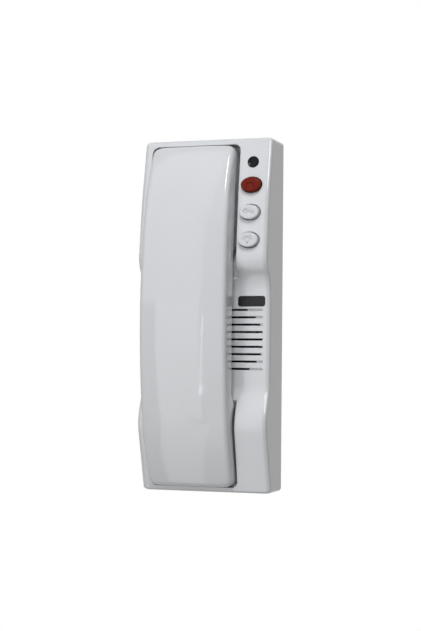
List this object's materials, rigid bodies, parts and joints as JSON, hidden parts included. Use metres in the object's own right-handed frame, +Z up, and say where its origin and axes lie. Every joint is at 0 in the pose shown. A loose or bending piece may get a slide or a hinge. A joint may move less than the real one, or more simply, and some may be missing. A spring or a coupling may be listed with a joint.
{
  "type": "audio intercom handset",
  "caption": "Wall-mounted audio door phone: a bowed handset lies in a cradle beside a strip with keys, a status light and a slotted speaker grille.",
  "frame": {"origin": "centre of the flat back that lies on the wall", "axes": "+Z up along the wall, +Y into the wall, the front faces -Y, +X to the right seen from the front"},
  "size_m": [0.084, 0.0512, 0.22],
  "materials": {
    "housing": "satin moulded light grey",
    "handset": "gloss moulded light grey",
    "plate": "matte moulded light grey",
    "red_key": "satin moulded red",
    "white_key": "satin moulded light grey",
    "lens": "gloss smoked dark",
    "black_plastic": "matte black",
    "board": "green solder mask",
    "terminal": "matte green",
    "steel": "zinc plated",
    "capacitor": "dark sleeve",
    "foam": "soft foam",
    "cone": "pressed paper",
    "magnet": "dull ferrite and steel",
    "rubber": "matte rubber"
  },
  "bodies": {
    "base": {"front_housing": "housing", "back_plate": "plate", "lock_screw": "steel", "main_board": "board", "key_board": "board", "board_screws": "steel", "terminal_block": "terminal", "terminal_screws": "steel", "electrolytic_capacitors": "capacitor", "control_chip": "black_plastic", "key_switches": "black_plastic", "status_light": "lens", "light_bezel": "black_plastic", "speaker_gasket": "foam", "speaker_frame": "black_plastic", "speaker_cone": "cone", "speaker_magnet": "magnet", "hook_bracket": "steel", "hook_bracket_screws": "steel", "hook_pin": "steel", "hook_spring": "steel", "hook_switch": "black_plastic", "base_cord_grommet": "rubber"},
    "handset": {"handset_shell": "handset", "handset_inner_cover": "handset", "receiver_capsule": "black_plastic", "receiver_gasket": "foam", "microphone_capsule": "steel", "microphone_boot": "rubber", "handset_weight": "magnet", "handset_screws": "steel", "handset_cord_grommet": "rubber"},
    "hook": {"hook_lever": "white_key"},
    "hook_contact": {"hook_switch_plunger": "red_key"},
    "call_button": {"call_key": "red_key", "call_plunger": "black_plastic"},
    "door_button": {"door_key": "white_key", "door_plunger": "black_plastic"},
    "lamp_button": {"lamp_key": "white_key", "lamp_plunger": "black_plastic"}
  },
  "joints": [
    {"name": "handset_lift", "type": "slide", "parent": "base", "child": "handset", "axis": [0, -0.9976, 0.0698], "range_m": [0, 0.08]},
    {"name": "hook_rise", "type": "hinge", "parent": "base", "child": "hook", "pos_m": [-0.025, -0.0062, 0.052], "axis": [1, 0, 0], "range_deg": [0, 7]},
    {"name": "hook_contact_travel", "type": "slide", "parent": "base", "child": "hook_contact", "axis": [0, 1, 0], "range_m": [0, 0.001]},
    {"name": "call_press", "type": "slide", "parent": "base", "child": "call_button", "axis": [0, 1, 0], "range_m": [0, 0.0008], "stiffness_N_per_m": 500},
    {"name": "door_press", "type": "slide", "parent": "base", "child": "door_button", "axis": [0, 1, 0], "range_m": [0, 0.0008], "stiffness_N_per_m": 500},
    {"name": "lamp_press", "type": "slide", "parent": "base", "child": "lamp_button", "axis": [0, 1, 0], "range_m": [0, 0.0008], "stiffness_N_per_m": 500}
  ],
  "couplings": [
    {"joint": "hook_rise", "follows": "handset_lift", "rad_per_m": 1.527},
    {"joint": "hook_contact_travel", "follows": "handset_lift", "ratio": 0.0124}
  ]
}
